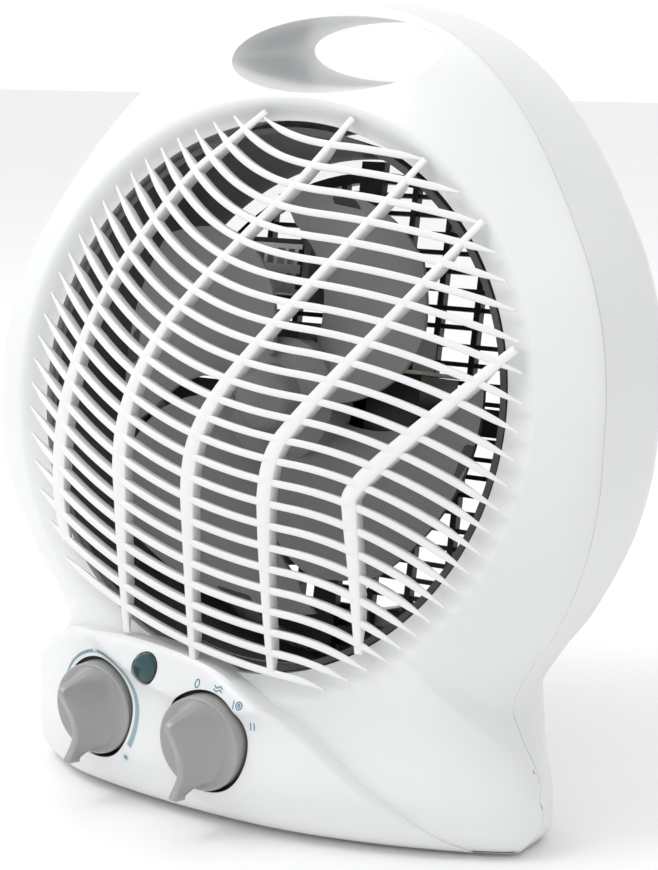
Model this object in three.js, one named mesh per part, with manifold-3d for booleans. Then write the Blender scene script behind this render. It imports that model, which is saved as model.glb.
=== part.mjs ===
// Upright round fan heater: two body shells on an oval foot, a domed front grille of bent bars,
// a four-blade fan, a small motor with two ceramic heating banks beside it, and two knobs on a raised panel.
// Millimetres, +Z up, front facing -Y. The disc, fan and grilles lean back by LEAN about the outlet centre.

import * as THREE from 'three';
import { mergeVertices } from 'three/addons/utils/BufferGeometryUtils.js';
import Module from 'manifold-3d';

const wasm = await Module();
wasm.setup();

// ---- driving dimensions ----
const LEAN = THREE.MathUtils.degToRad(12);
const DISC_HEIGHT = 134; // outlet centre above the floor
const ARCH_HEIGHT = 132; // centre of the outline's upper arch
const ARCH_HALF = [113.5, 110.5]; // its half width and half height
const HANDLE_RISE = 12; // how far the handle stands above the arch
const OUTLET_RADIUS = 86;
const DISH_RADIUS = 95.5; // crest of the dish round the outlet
const SHELL_BOTTOM = 0.8; // the shells stand this far above the floor, on the feet
const WALL = 2.6;
const GAP = 0.3; // clearance between neighbouring pieces
const SEAM_FRONT = 8.6; // foremost point of the parting line, at the waist of the disc
const SEAM_FOOT_SHIFT = 4.9; // how far back it stands in the foot
const FRONT_BULGE = 0.25; // the front between dish and parting line: 0 is a cone, 1 is a quarter round
const SIDE_DEPTH = 46; // where the straight side ends
const BACK_DEPTH = 63; // back face behind the outlet plane
const FOOT_MID_Y = 12.5; // widest line of the oval foot
const FOOT_FRONT = 28;
const FOOT_REAR = 50;
const SLOT_HEIGHT = 238.7; // centre of the carry slot
const FAN_RADIUS = 68;
const DUCT_RADIUS = 83;
const KNOB_RADIUS = 15.2;
const KNOB_DEPTH = 7;
const KNOB_TURN = THREE.MathUtils.degToRad(9);
const KNOBS = {
  thermostat: { x: -48.3, z: 30.7, faceY: -24.6, shaftBack: 1.8 },
  selector: { x: -2, z: 29.2, faceY: -30, shaftBack: -4 },
};
const PANEL_PROUD = 9.5; // how far the control panel stands in front of the foot
const CENTRE_Y = 19.1; // puts the middle of the whole object's depth at y = 0

const tanLean = Math.tan(LEAN);
const cosLean = Math.cos(LEAN);
const sinLean = Math.sin(LEAN);

// ---- colours and finishes ----
function finish(color, roughness, metalness = 0) {
  return new THREE.MeshStandardMaterial({ color, roughness, metalness });
}

const whitePlastic = () => finish(0xf1f2f2, 0.35);
const greyPlastic = () => finish(0x9a9b9b, 0.4);
const fanPlastic = () => finish(0x8d8e8f, 0.5);
const blackPlastic = () => finish(0x1d1e20, 0.5);
const creamPlastic = () => finish(0xd9d4c4, 0.5);
const steel = () => finish(0xb4b7ba, 0.35, 1);
const darkSteel = () => finish(0x6e7174, 0.45, 1);
const copper = () => finish(0xa8592a, 0.4, 1);
const bronze = () => finish(0xa98245, 0.4, 1);
const aluminium = () => finish(0xc4c7ca, 0.4, 1);
const ceramic = () => finish(0xe4dfd2, 0.7);
const rubber = () => finish(0x202122, 0.85);
const tealLens = () => finish(0x1d6468, 0.15);
const glass = () => finish(0xf0c9a0, 0.1);

// ---- small helpers ----
const smooth = (low, high, value) => THREE.MathUtils.smoothstep(value, low, high);
const mix = THREE.MathUtils.lerp;
const range = (count) => [...Array(count).keys()];
const vec = (x, y, z) => new THREE.Vector3(x, y, z);

// A closed skin through rings that all have the same number of points, with a fan of triangles on each end.
function loft(rings) {
  const count = rings[0].length;
  const points = rings.flat();
  const index = [];
  for (let r = 0; r < rings.length - 1; r += 1) {
    for (let i = 0; i < count; i += 1) {
      const j = (i + 1) % count;
      const a = r * count + i;
      const b = r * count + j;
      index.push(a, b, a + count, b, b + count, a + count);
    }
  }
  const addCap = (start, flip) => {
    const centre = rings[start].reduce((sum, p) => sum.clone().add(p), vec(0, 0, 0)).divideScalar(count);
    const tip = points.length;
    points.push(centre);
    for (let i = 0; i < count; i += 1) {
      const a = start * count + i;
      const b = start * count + ((i + 1) % count);
      index.push(...(flip ? [tip, a, b] : [tip, b, a]));
    }
  };
  addCap(0, false);
  addCap(rings.length - 1, true);
  const geometry = new THREE.BufferGeometry();
  geometry.setAttribute('position', new THREE.Float32BufferAttribute(points.flatMap((p) => p.toArray()), 3));
  geometry.setIndex(index);
  return geometry;
}

// Booleans: three geometry in, manifold solid in the middle, three geometry out.
function solid(geometry) {
  const copy = geometry.clone();
  ['normal', 'uv'].forEach((name) => copy.deleteAttribute(name));
  const merged = mergeVertices(copy, 1e-4);
  const vertProperties = new Float32Array(merged.attributes.position.array);
  const triVerts = new Uint32Array(merged.index.array);
  const made = new wasm.Manifold(new wasm.Mesh({ numProp: 3, vertProperties, triVerts }));
  return made.volume() < 0 ? solid(flipped(merged)) : made;
}

function flipped(geometry) {
  const copy = geometry.clone();
  const order = copy.index.array;
  for (let i = 0; i < order.length; i += 3) {
    [order[i], order[i + 1]] = [order[i + 1], order[i]];
  }
  return copy;
}

function geometryOf(made) {
  const mesh = made.getMesh();
  const geometry = new THREE.BufferGeometry();
  const positions = Float32Array.from(mesh.vertProperties);
  geometry.setAttribute('position', new THREE.Float32BufferAttribute(positions, 3));
  geometry.setIndex([...mesh.triVerts]);
  return geometry;
}

const union = (parts) => parts.map(solid).reduce((a, b) => a.add(b));
const cut = (base, tools) => tools.map(solid).reduce((a, b) => a.subtract(b), base);
const largest = (made) => made.decompose().sort((a, b) => b.volume() - a.volume())[0];
const joined = (parts) => geometryOf(union(parts));
const drilled = (parts, tools) => geometryOf(cut(union(parts), tools));

function placed(geometry, position, rotation = [0, 0, 0]) {
  const matrix = new THREE.Matrix4().makeRotationFromEuler(new THREE.Euler(...rotation));
  matrix.setPosition(...position);
  return geometry.clone().applyMatrix4(matrix);
}

const block = (x, y, z, at = [0, 0, 0], rotation) => placed(new THREE.BoxGeometry(x, y, z), at, rotation);

// A cylinder along Y, from depth y0 to y1.
function rod(radius, y0, y1, x = 0, z = 0, sides = 24, tipRadius = radius) {
  const geometry = new THREE.CylinderGeometry(tipRadius, radius, y1 - y0, sides);
  return geometry.translate(x, (y0 + y1) / 2, z);
}

// A tube along Y as a closed lathe profile.
function tube(outer, inner, y0, y1, sides = 24, x = 0, z = 0) {
  const profile = [[inner, y0], [outer, y0], [outer, y1], [inner, y1], [inner, y0]];
  return new THREE.LatheGeometry(profile.map(([r, y]) => new THREE.Vector2(r, y)), sides).translate(x, 0, z);
}

const upright = (geometry) => geometry.clone().rotateX(Math.PI / 2); // Y axis turned to +Z

const tilt = new THREE.Matrix4().makeRotationX(-LEAN).setPosition(0, 0, DISC_HEIGHT);
const inDisc = (geometry) => geometry.clone().applyMatrix4(tilt); // disc frame to body frame

// ---- body form ----
// Right half of the outline, bottom centre to top centre: floor line, foot and neck as a spline, then an arch.
const SIDE_POINTS = [
  [90, SHELL_BOTTOM], [95.5, 8], [96, 15], [93.5, 26], [88, 36], [85, 46],
  [91, 58.6], [99.5, 71], [109, 92], [113.3, 112], [ARCH_HALF[0], ARCH_HEIGHT],
];
const sideCurve = new THREE.SplineCurve(SIDE_POINTS.map(([x, z]) => new THREE.Vector2(x, z)));

function archPoint(angle) {
  const rise = HANDLE_RISE * smooth(30, 80, THREE.MathUtils.radToDeg(angle));
  return [(ARCH_HALF[0] + rise) * Math.cos(angle), ARCH_HEIGHT + (ARCH_HALF[1] + rise) * Math.sin(angle)];
}

function halfOutline(floorSteps, sideSteps, archSteps) {
  const floor = range(floorSteps).map((i) => [(SIDE_POINTS[0][0] * i) / floorSteps, SHELL_BOTTOM]);
  const side = sideCurve.getPoints(sideSteps).map((p) => [p.x, p.y]);
  const arch = range(archSteps).map((i) => archPoint(((i + 1) / archSteps) * (Math.PI / 2)));
  return [...floor, ...side, ...arch];
}

function fullOutline(...steps) {
  const half = halfOutline(...steps);
  return [...half, ...half.slice(1, -1).reverse().map(([x, z]) => [-x, z])];
}

const outerOutline = fullOutline(5, 12, 10);
const innerOutline = fullOutline(5, 8, 6);

function footHalfWidth(z) {
  const [lower, upper] = [SIDE_POINTS[2], SIDE_POINTS[5]];
  return mix(lower[0], upper[0], smooth(lower[1], upper[1], z));
}

const leanY = (z) => (z - DISC_HEIGHT) * tanLean; // outlet plane at height z
const footShare = (z) => 1 - smooth(16, 56, z); // 1 in the foot, 0 in the disc

// The parting line sweeps back towards the handle and stands upright in the foot.
function seamY(z) {
  const sweep = 0.0144 * Math.max(z - 105, 0) ** 1.57;
  return SEAM_FRONT + sweep + SEAM_FOOT_SHIFT * (1 - smooth(38, 105, z));
}

function discFrontDepth(x, z, inset) {
  const radius = Math.hypot(x, (z - DISC_HEIGHT) / cosLean);
  const angle = Math.atan2(z - DISC_HEIGHT, x);
  const ridge = smooth(-0.25, 0.75, Math.cos(angle - 2.1)); // strong at the top left, gone at the lower right
  const crestDepth = mix(2, -1.5, ridge);
  if (radius < DISH_RADIUS) {
    return mix(2.5, crestDepth, smooth(OUTLET_RADIUS, DISH_RADIUS, radius));
  }
  const u = Math.min((radius - DISH_RADIUS) / (radius + inset - DISH_RADIUS), 1);
  const fall = mix(u, 1 - Math.sqrt(1 - u * u), FRONT_BULGE);
  const seamDepth = (seamY(z) - leanY(z)) * cosLean;
  return crestDepth + (seamDepth - crestDepth) * fall;
}

function frontY(x, z, inset) {
  const share = footShare(z);
  const across = Math.min(Math.abs(x) / footHalfWidth(z), 1);
  const chin = 4.5 * Math.sin(Math.PI * THREE.MathUtils.clamp(z / 60, 0, 1));
  const foot = FOOT_MID_Y - (FOOT_FRONT + chin) * Math.sqrt(1 - across * across);
  return mix(leanY(z) + discFrontDepth(x, z, inset) / cosLean, foot, share);
}

function rearY(x, z, inset) {
  const share = footShare(z);
  const across = Math.min(Math.abs(x) / footHalfWidth(z), 1);
  const foot = FOOT_MID_Y + FOOT_REAR * Math.sqrt(1 - across * across);
  const u = THREE.MathUtils.clamp(1 - inset / 16, 0, 1);
  const depth = BACK_DEPTH - (BACK_DEPTH - SIDE_DEPTH) * (1 - Math.sqrt(1 - u * u));
  return mix(leanY(z) + depth / cosLean, foot, share);
}

// One ring of the body skin: the outline pulled towards the arch's centre by inset, moved inwards by thickness.
function bodyRing(outline, inset, thickness, depthAt) {
  return outline.map(([x, z]) => {
    const reach = Math.hypot(x, z - ARCH_HEIGHT);
    const scale = Math.max((reach - inset - thickness) / reach, 0.02);
    const px = x * scale;
    const pz = ARCH_HEIGHT + (z - ARCH_HEIGHT) * scale;
    return vec(px, depthAt(px, pz, inset), pz);
  });
}

const FRONT_INSETS = [96, 52, 38, 28, 20, 13, 8, 4, 1.4, 0];
const REAR_INSETS = [0, 1, 5, 11, 16, 28, 42, 60, 96];
const INNER_FRONT_INSETS = [96, 50, 36, 24, 16, 8, 2.5, 0];
const INNER_REAR_INSETS = [0, 3, 9, 16, 28, 42, 60, 96];

function bodySolid(outline, thickness, frontInsets, rearInsets, floorZ) {
  const rings = [
    ...frontInsets.map((inset) => bodyRing(outline, inset, thickness, (...at) => frontY(...at) + thickness)),
    ...rearInsets.map((inset) => bodyRing(outline, inset, thickness, (...at) => rearY(...at) - thickness)),
  ];
  rings.flat().filter((p) => p.z < SHELL_BOTTOM + thickness + 0.3).forEach((p) => p.setZ(floorZ));
  return solid(loft(rings));
}

// ---- control panel, raised on the lower left of the front ----
const PANEL_BOTTOM = SHELL_BOTTOM + 0.2;
const PANEL_TOP = [
  [-90, 37.5], [-79, 46], [-64, 53.2], [-45, 55.8], [-23, 54.8], [-9, 53], [2, 50],
  [19, 42.3], [33, 33.6], [52, 19.3], [68, 8.4], [78, 3],
];
const panelCurve = new THREE.SplineCurve(PANEL_TOP.map(([x, z]) => new THREE.Vector2(x, z)));

function panelFrontY(x, z) {
  const across = Math.min(Math.abs(x) / 96, 1);
  const fade = 1 - smooth(10, 86, x) * 0.88;
  const left = mix(0.45, 1, smooth(-92, -60, x));
  const swell = Math.sqrt(Math.sin(Math.PI * THREE.MathUtils.clamp(0.12 + z / 78, 0.001, 0.999)));
  const foot = FOOT_MID_Y - FOOT_FRONT * Math.sqrt(1 - across * across);
  return Math.min(frontY(x, z, 20), foot) - PANEL_PROUD * fade * left * swell;
}

function panelGeometry() {
  const rings = panelCurve.getPoints(18).map((top) => {
    const levels = range(6).map((i) => mix(PANEL_BOTTOM, top.y, i / 5));
    const front = levels.map((z) => vec(top.x, panelFrontY(top.x, z), z));
    const back = levels.map((z) => vec(top.x, frontY(top.x, z, 20) + 4, z)).reverse();
    return [...front, ...back];
  });
  return loft(rings);
}

// ---- handle slot: level, wider and a little to the right in front, narrower at the back ----
const SLOT_STATIONS = [
  { depth: -40, x: 6, a: 40.5, b: 12.7 },
  { depth: 8, x: 6, a: 38.8, b: 12 },
  { depth: 20, x: 5, a: 36.5, b: 11.3 },
  { depth: 40, x: 2.5, a: 34.5, b: 10.2 },
  { depth: 60, x: 0, a: 34, b: 9.7 },
  { depth: 110, x: 0, a: 34.5, b: 9.9 },
];

function slotGeometry(grow) {
  return loft(SLOT_STATIONS.map(({ depth, x, a, b }) => range(24).map((i) => {
    const angle = (i / 24) * Math.PI * 2;
    const z = SLOT_HEIGHT + (b + grow) * Math.sin(angle);
    return vec(x + (a + grow) * Math.cos(angle), depth / cosLean + leanY(z), z);
  })));
}

// ---- shells ----
const SEAM_LEVELS = [-20, 38, 60, 82, 105, 125, 145, 165, 185, 205, 225, 245, 300];
const SEAM_LINE = SEAM_LEVELS.map((z) => [seamY(z), z]);
const FRONT_TOOL = [[-150, -20], ...SEAM_LINE, [-150, 300]];

// The side of the parting line that belongs to the front shell, moved by offset along Y.
function frontSide(offset) {
  const shape = new THREE.Shape(FRONT_TOOL.map(([y, z]) => new THREE.Vector2(y === -150 ? y : y + offset, z)));
  const slab = new THREE.ExtrudeGeometry(shape, { depth: 400, bevelEnabled: false });
  const matrix = new THREE.Matrix4().set(0, 0, 1, -200, 1, 0, 0, 0, 0, 1, 0, 0, 0, 0, 0, 1);
  return solid(slab.applyMatrix4(matrix));
}

const RECESS_DEPTH = KNOB_DEPTH + 1;
const LENS_AT = [-27, 47.8];
const LENS_RADIUS = 4.9;
const GLAND_HEIGHT = 20;

function knobWells() {
  return Object.values(KNOBS).flatMap(({ x, z, faceY }) => [
    rod(KNOB_RADIUS + 1.6, faceY - 30, faceY + RECESS_DEPTH, x, z, 32),
    rod(4, faceY, faceY + 40, x, z, 16),
  ]);
}

// Screw pillars between duct and side wall, in the disc's frame: across, up, and where the hole starts.
const PILLARS = [[-81, 54, 3.6], [81, 54, 3.6], [-70, -70, 8], [70, -70, 8]];
const PILLAR_BACK = 56;
const OUTLET_CUT_DEPTH = 27;
const pillars = (radius, y0, y1) => PILLARS.map(([x, w]) => inDisc(rod(radius, y0, y1, x, w, 12)));

function makeShells() {
  const outer = bodySolid(outerOutline, 0, FRONT_INSETS, REAR_INSETS, SHELL_BOTTOM);
  const cavity = bodySolid(innerOutline, WALL, INNER_FRONT_INSETS, INNER_REAR_INSETS, -5);
  const hollow = largest(cut(cavity, [slotGeometry(WALL), ...pillars(5, -20, 90)]));
  const outlet = inDisc(rod(OUTLET_RADIUS, -60, OUTLET_CUT_DEPTH, 0, 0, 56));
  const inlet = inDisc(rod(DUCT_RADIUS - 3, BACK_DEPTH - 12, BACK_DEPTH + 30, 0, 0, 56));
  const slot = slotGeometry(0);
  const body = outer.add(solid(panelGeometry())).subtract(hollow);
  const screwHoles = PILLARS.map(([x, w, start]) => inDisc(rod(2.1, start, 90, x, w, 12)));
  const lensHole = rod(LENS_RADIUS + GAP, -60, 40, ...LENS_AT, 20);
  const frontCuts = [slot, outlet, ...knobWells(), ...screwHoles, lensHole];
  const front = cut(body.intersect(frontSide(-GAP / 2)), frontCuts);
  const glandHole = rod(4.6, 40, 80, 0, GLAND_HEIGHT, 16);
  const rearCuts = [slot, inlet, ...screwHoles, ...pillars(4, PILLAR_BACK, 90), glandHole];
  const rear = cut(body.subtract(frontSide(GAP / 2)), rearCuts);
  return { front: geometryOf(largest(front)), rear: geometryOf(largest(rear)) };
}

// ---- front grille ----
const GRILLE_CENTRE = [2, -2];
const GRILLE_RADIUS = 91;
const DOME_TOP = -15.5;
const DOME_SAG = 13.5;
const domeDepth = (x, w) => DOME_TOP + DOME_SAG * ((x * x + w * w) / (90 * 90));

// Upright bars: straight at the foot, one bend, then a slanting upper run. The bend sharpens to the right.
const UPRIGHTS = [
  [[-66, -54], [-70, -36], [-70, -14], [-62, 18], [-42, 52], [-7, 88]],
  [[-38, -79], [-41, -46], [-41.5, -14], [-29, 18], [-2, 51], [25, 87]],
  [[-10.5, -84], [-12.5, -46], [-12, -16], [7, 15], [37, 54], [51.5, 76]],
  [[19, -84], [17, -46], [17, -20], [26, -4], [46, 22], [73, 59]],
  [[48.5, -72.5], [46.5, -48], [44.5, -27], [46, -24], [60, -9.5], [88.5, 22]],
];
const CROSS_BARS = 25;
const PIVOT_X = 25;

function crossHeight(k, x) {
  const base = 78.4 - 7.19 * k + 0.0167 * k * k;
  const left = Math.max(PIVOT_X - x, 0);
  const right = Math.max(x - PIVOT_X, 0);
  const rampedX = (x - PIVOT_X + Math.hypot(x - PIVOT_X, 17)) / 2 - 8.5;
  const rise = (0.00426 + 0.0000227 * base) * left * left;
  return base + rise - (0.08 - 0.0013 * base) * rampedX - (0.00296 - 0.0000091 * base) * right * right;
}

// The stretch of a cross bar that lies inside the grille circle.
function crossSpan(k) {
  const inside = range(181).map((i) => i - 90).filter((x) => {
    const reach = Math.hypot(x - GRILLE_CENTRE[0], crossHeight(k, x) - GRILLE_CENTRE[1]);
    return reach < GRILLE_RADIUS;
  });
  return [inside[0], inside[inside.length - 1]];
}

// A bar swept over the dome, flat in front, narrower behind and thinner towards the rim.
function barGeometry(path, widths, setBack, depth) {
  const rings = path.map(([x, w], i) => {
    const [ax, aw] = path[Math.max(i - 1, 0)];
    const [bx, bw] = path[Math.min(i + 1, path.length - 1)];
    const length = Math.hypot(bx - ax, bw - aw);
    const [nx, nw] = [-(bw - aw) / length, (bx - ax) / length];
    const v = domeDepth(x, w) + setBack;
    const back = v + depth * mix(1, 0.4, smooth(74, 84, Math.hypot(x, w)));
    const wide = widths[i] / 2;
    return [vec(x - nx * wide, v, w - nw * wide), vec(x + nx * wide, v, w + nw * wide), vec(x, back, w)];
  });
  return loft(rings);
}

function uprightBar(points) {
  const curve = new THREE.CatmullRomCurve3(points.map(([x, w]) => vec(x, w, 0)), false, 'centripetal');
  const path = curve.getPoints(7).map((p) => [p.x, p.y]);
  return barGeometry(path, path.map(([, w]) => 2.4 + 3.4 * Math.exp(-(((w + 18) / 38) ** 2))), 0, 5);
}

function crossBar(k) {
  const [from, to] = crossSpan(k);
  const steps = 4;
  const path = range(steps + 1).map((i) => mix(from, to, i / steps)).map((x) => [x, crossHeight(k, x)]);
  return barGeometry(path, path.map((_, i) => (i === 0 || i === steps ? 0.9 : 2.3)), 0.4, 3);
}

const makeGrille = () => joined([...UPRIGHTS.map(uprightBar), ...range(CROSS_BARS).map(crossBar)]);

// ---- rear grille: a round plate with a rectangular mesh ----
const MESH_PITCH = [21, 9];
const RIB = 2.2;

function makeRearGrille() {
  const radius = DUCT_RADIUS - 3.6;
  const holes = [];
  const columns = Math.floor(radius / MESH_PITCH[0]);
  const rows = Math.floor(radius / MESH_PITCH[1]);
  for (let c = -columns; c < columns; c += 1) {
    for (let r = -rows; r < rows; r += 1) {
      const [x, z] = [(c + 0.5) * MESH_PITCH[0], (r + 0.5) * MESH_PITCH[1]];
      if (Math.hypot(Math.abs(x) + 8, Math.abs(z) + 3) < radius - 1.5) {
        holes.push(block(MESH_PITCH[0] - RIB, 30, MESH_PITCH[1] - RIB, [x, BACK_DEPTH - 2.5, z]));
      }
    }
  }
  return geometryOf(cut(solid(rod(radius, BACK_DEPTH - 4.5, BACK_DEPTH - 0.5, 0, 0, 48)), holes));
}

// ---- fan ----
const BLADES = 4;
const HUB_RADIUS = 20;

function bladeGeometry(turn) {
  const stations = range(5).map((i) => {
    const share = i / 4;
    const radius = mix(HUB_RADIUS - 3, FAN_RADIUS, share);
    const sweep = 0.62 * share * share;
    const halfSpan = mix(0.62, 0.66, share);
    const front = range(6).map((j) => {
      const t = j / 5 - 0.5;
      const angle = turn + sweep + t * 2 * halfSpan;
      const depth = 15 + 16 * t + 2.5 * Math.cos(Math.PI * t) * share;
      return vec(radius * Math.cos(angle), depth, radius * Math.sin(angle));
    });
    const back = front.map((p) => vec(p.x, p.y + 1.8, p.z)).reverse();
    return [...front, ...back];
  });
  return loft(stations);
}

function makeFan() {
  const outside = [[0, 1], [8.5, 1], [10.5, 2.5], [11.5, 8], [HUB_RADIUS, 13], [HUB_RADIUS, 25]];
  const inside = [[HUB_RADIUS - 2.5, 25], [HUB_RADIUS - 2.5, 15], [6.5, 13], [6.5, 25], [0, 25], [0, 1]];
  const profile = [...outside, ...inside];
  const hub = new THREE.LatheGeometry(profile.map(([r, y]) => new THREE.Vector2(r, y)), 24);
  const body = union([hub, ...range(BLADES).map((i) => bladeGeometry(((i + 0.42) * 2 * Math.PI) / BLADES))]);
  return geometryOf(cut(body, [rod(2.3 + GAP, 8, 30, 0, 0, 16)]));
}

// ---- motor: shaded-pole type, its coil to the right of the rotor ----
const SHAFT_RADIUS = 2.3;
const STACK = [32, 46]; // front and back of the laminated stack
const STACK_MID = (STACK[0] + STACK[1]) / 2;
const ROTOR_RADIUS = 14;
const COIL_X = 33;
const screwHeights = [-19, 19];
const acrossDepth = (radius, y0, y1) => screwHeights.map((w) => rod(radius, y0, y1, 0, w, 12));

function makeStator() {
  const frame = block(60, STACK[1] - STACK[0], 52, [6, STACK_MID, 0]);
  const window = block(15, 40, 34, [22.5, STACK_MID, 0]);
  return drilled([frame], [rod(ROTOR_RADIUS + 0.6, 20, 60, 0, 0, 32), window, ...acrossDepth(1.9, 20, 60)]);
}

function makeCoil() {
  const at = [COIL_X, STACK_MID, 0];
  return drilled([block(19, 24, 25, at)], [block(9.2, 17.2, 40, at)]);
}

function makeBobbin() {
  const flanges = [-13.4, 13.4].map((w) => block(20, 25, 1.2, [COIL_X, STACK_MID, w]));
  const sleeve = block(8.6, 16.6, 28, [COIL_X, STACK_MID, 0]);
  return drilled([sleeve, ...flanges], [block(6.6, 14.6, 40, [COIL_X, STACK_MID, 0])]);
}

function makeBracket(y0, y1, cupFrom, cupTo) {
  const strap = block(12, y1 - y0, 46, [0, (y0 + y1) / 2, 0]);
  const cup = rod(7.5, cupFrom, cupTo, 0, 0, 24);
  return drilled([strap, cup], [rod(4.3, 15, 60, 0, 0, 16), ...acrossDepth(1.9, 15, 60)]);
}

function makeRotor() {
  return drilled([rod(ROTOR_RADIUS, ...STACK, 0, 0, 32)], [rod(SHAFT_RADIUS + GAP, 0, 60, 0, 0, 16)]);
}

// ---- motor mount: a hub plate with four arms that reach the duct ----
function makeMount() {
  const length = DUCT_RADIUS - 13;
  const arms = range(4).map((i) => block(length, 3.2, 9, [12 + length / 2, 54.9, 0]).rotateY((i * Math.PI) / 2));
  const hub = rod(26, 53.3, 56.1, 0, 0, 32);
  return drilled([hub, ...arms], [rod(9, 40, 70, 0, 0, 24), ...acrossDepth(2.2, 40, 70)]);
}

const makeDuct = () => tube(DUCT_RADIUS + 2, DUCT_RADIUS, 4, BACK_DEPTH - 7.2, 48);

// ---- ceramic heating banks, to the left of the motor ----
const BANK_WIDTH = 44;
const BANK_AT = [-33, 39, 43];

function makeBank() {
  const fins = range(11).map((i) => block(1.4, 12, 15, [-20 + i * 4, 0, 0]));
  const rails = [-7.4, 7.4].map((z) => block(BANK_WIDTH, 12, 1.6, [0, 0, z]));
  return joined([block(BANK_WIDTH, 12, 3), ...fins, ...rails]);
}

function makeBankHolder() {
  const arms = [-23.7, 23.7].map((x) => block(2.6, 14, 22, [x, 1.6, 0]));
  return drilled([...arms, block(50, 2.6, 22, [0, 8, 0])], [block(38, 30, 14)]);
}

// ---- knobs: a disc with a tall blade grip that dips and flares out at its tail ----
const GRIP_PROFILE = [
  [-15.4, 10.6], [-13, 9.4], [-9, 7.7], [-5, 8.4], [0, 10.6], [5, 14.2], [9.5, 17.4], [12, 16.8],
];

function knobGeometry() {
  const rim = [[KNOB_RADIUS - 0.8, 0], [KNOB_RADIUS, 0.8], [KNOB_RADIUS, KNOB_DEPTH]];
  const disc = [[0, 0], ...rim, [0, KNOB_DEPTH], [0, 0]];
  const face = new THREE.LatheGeometry(disc.map(([r, y]) => new THREE.Vector2(r, y)), 32);
  const grip = loft(GRIP_PROFILE.map(([z, proud]) => {
    const foot = z < -12 ? proud - 5 : -1;
    const base = 4.2 * Math.sqrt(Math.max(1 - (z / 19) ** 2, 0.04));
    return [vec(-base, -foot, z), vec(-1.3, -proud, z), vec(1.3, -proud, z), vec(base * 1.9, -foot, z)];
  }));
  return drilled([face, grip], [rod(3 + GAP, 2.5, 20, 0, 0, 16)]);
}

// ---- switches behind the knobs ----
const SWITCH_DEPTH = 18;

function makeSwitchBody(x, z, front) {
  const lugs = [-8, 0, 8].map((dx) => block(4.8, 7, 0.8, [x + dx, front + SWITCH_DEPTH + 3, z]));
  const body = block(26, SWITCH_DEPTH, 24, [x, front + SWITCH_DEPTH / 2, z]);
  return drilled([body, ...lugs], [rod(3.06, front - 5, front + 9, x, z, 20)]);
}

// ---- foot: base plate, rubber feet, cable entry ----
function makeBasePlate() {
  const xs = range(13).map((i) => -84 + i * 14);
  const bow = (x) => Math.sqrt(1 - (x / 96) ** 2);
  const front = xs.map((x) => [x, FOOT_MID_Y + 3.9 - FOOT_FRONT * bow(x)]);
  const rear = xs.map((x) => [x, FOOT_MID_Y - 3.9 + FOOT_REAR * bow(x)]).reverse();
  const shape = new THREE.Shape([...front, ...rear].map(([x, y]) => new THREE.Vector2(x, y)));
  return new THREE.ExtrudeGeometry(shape, { depth: 2, bevelEnabled: false }).translate(0, 0, 2.2);
}

const FEET = [[-60, 5], [60, 5], [-60, 33], [60, 33]];
const rubberFoot = () => upright(rod(7.5, 0, 1.9, 0, 0, 24, 7));

function makeGland() {
  const profile = [[2.8, 56], [4.3, 56], [4.3, 63.2], [7, 63.2], [6.4, 65.4], [2.8, 65.4], [2.8, 56]];
  const points = profile.map(([r, y]) => new THREE.Vector2(r, y));
  return new THREE.LatheGeometry(points, 18).translate(0, 0, GLAND_HEIGHT);
}

const makeClamp = () => drilled([block(18, 9, 9, [0, 47, 9])], [rod(3, 30, 60, 0, 9, 16)]);

function makeTerminalBlock() {
  const wires = [-9, 0, 9].map((x) => rod(1.8, 0, 60, x + 36, 12, 12));
  return drilled([block(30, 14, 13, [36, 30, 11])], wires);
}

// ---- assembly ----
const heater = new THREE.Group();
heater.position.y = -CENTRE_Y;
const disc = new THREE.Group();
disc.position.z = DISC_HEIGHT;
disc.rotation.x = -LEAN;
heater.add(disc);

function add(parent, name, geometry, material, position = [0, 0, 0], turn = 0) {
  const mesh = new THREE.Mesh(geometry, material);
  mesh.name = name;
  mesh.position.set(...position);
  mesh.rotation.y = turn;
  parent.add(mesh);
}

function addShells() {
  const shells = makeShells();
  add(heater, 'front_shell', shells.front, whitePlastic());
  add(heater, 'rear_shell', shells.rear, whitePlastic());
  add(disc, 'front_grille', makeGrille(), whitePlastic(), [0, -1.05, 0]);
  add(disc, 'rear_grille', makeRearGrille(), blackPlastic());
  add(disc, 'air_duct', makeDuct(), blackPlastic());
  const screw = (tip) => joined([rod(1.8, tip, 57, 0, 0, 12), rod(3.6, 56.3, 59, 0, 0, 16)]);
  PILLARS.forEach(([x, w, start], i) => {
    add(disc, `shell_screw_${i + 1}`, screw(start + 1.4), steel(), [x, 0, w]);
  });
}

function addDrive() {
  add(disc, 'fan_impeller', makeFan(), fanPlastic());
  add(disc, 'fan_clip', tube(5, SHAFT_RADIUS + 0.1, 25.4, 26.6, 14), steel());
  add(disc, 'motor_shaft', rod(SHAFT_RADIUS, 9, 52, 0, 0, 24), steel());
  add(disc, 'motor_rotor', makeRotor(), darkSteel());
  add(disc, 'motor_stator', makeStator(), darkSteel());
  add(disc, 'motor_coil', makeCoil(), copper());
  add(disc, 'motor_bobbin', makeBobbin(), creamPlastic());
  add(disc, 'motor_front_bracket', makeBracket(29, 31.7, 28, 31.7), steel());
  add(disc, 'motor_rear_bracket', makeBracket(46.3, 49, 46.3, 53), steel());
  add(disc, 'front_bush', tube(4, SHAFT_RADIUS + 0.1, 28.3, 31.5, 14), bronze());
  add(disc, 'rear_bush', tube(4, SHAFT_RADIUS + 0.1, 46.6, 52.6, 14), bronze());
  add(disc, 'motor_mount', makeMount(), blackPlastic());
  const screw = () => joined([rod(1.5, 27.5, 57, 0, 0, 12), rod(3, 56.8, 58.2, 0, 0, 16)]);
  screwHeights.forEach((w, i) => add(disc, `motor_screw_${i + 1}`, screw(), steel(), [0, 0, w]));
}

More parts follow.
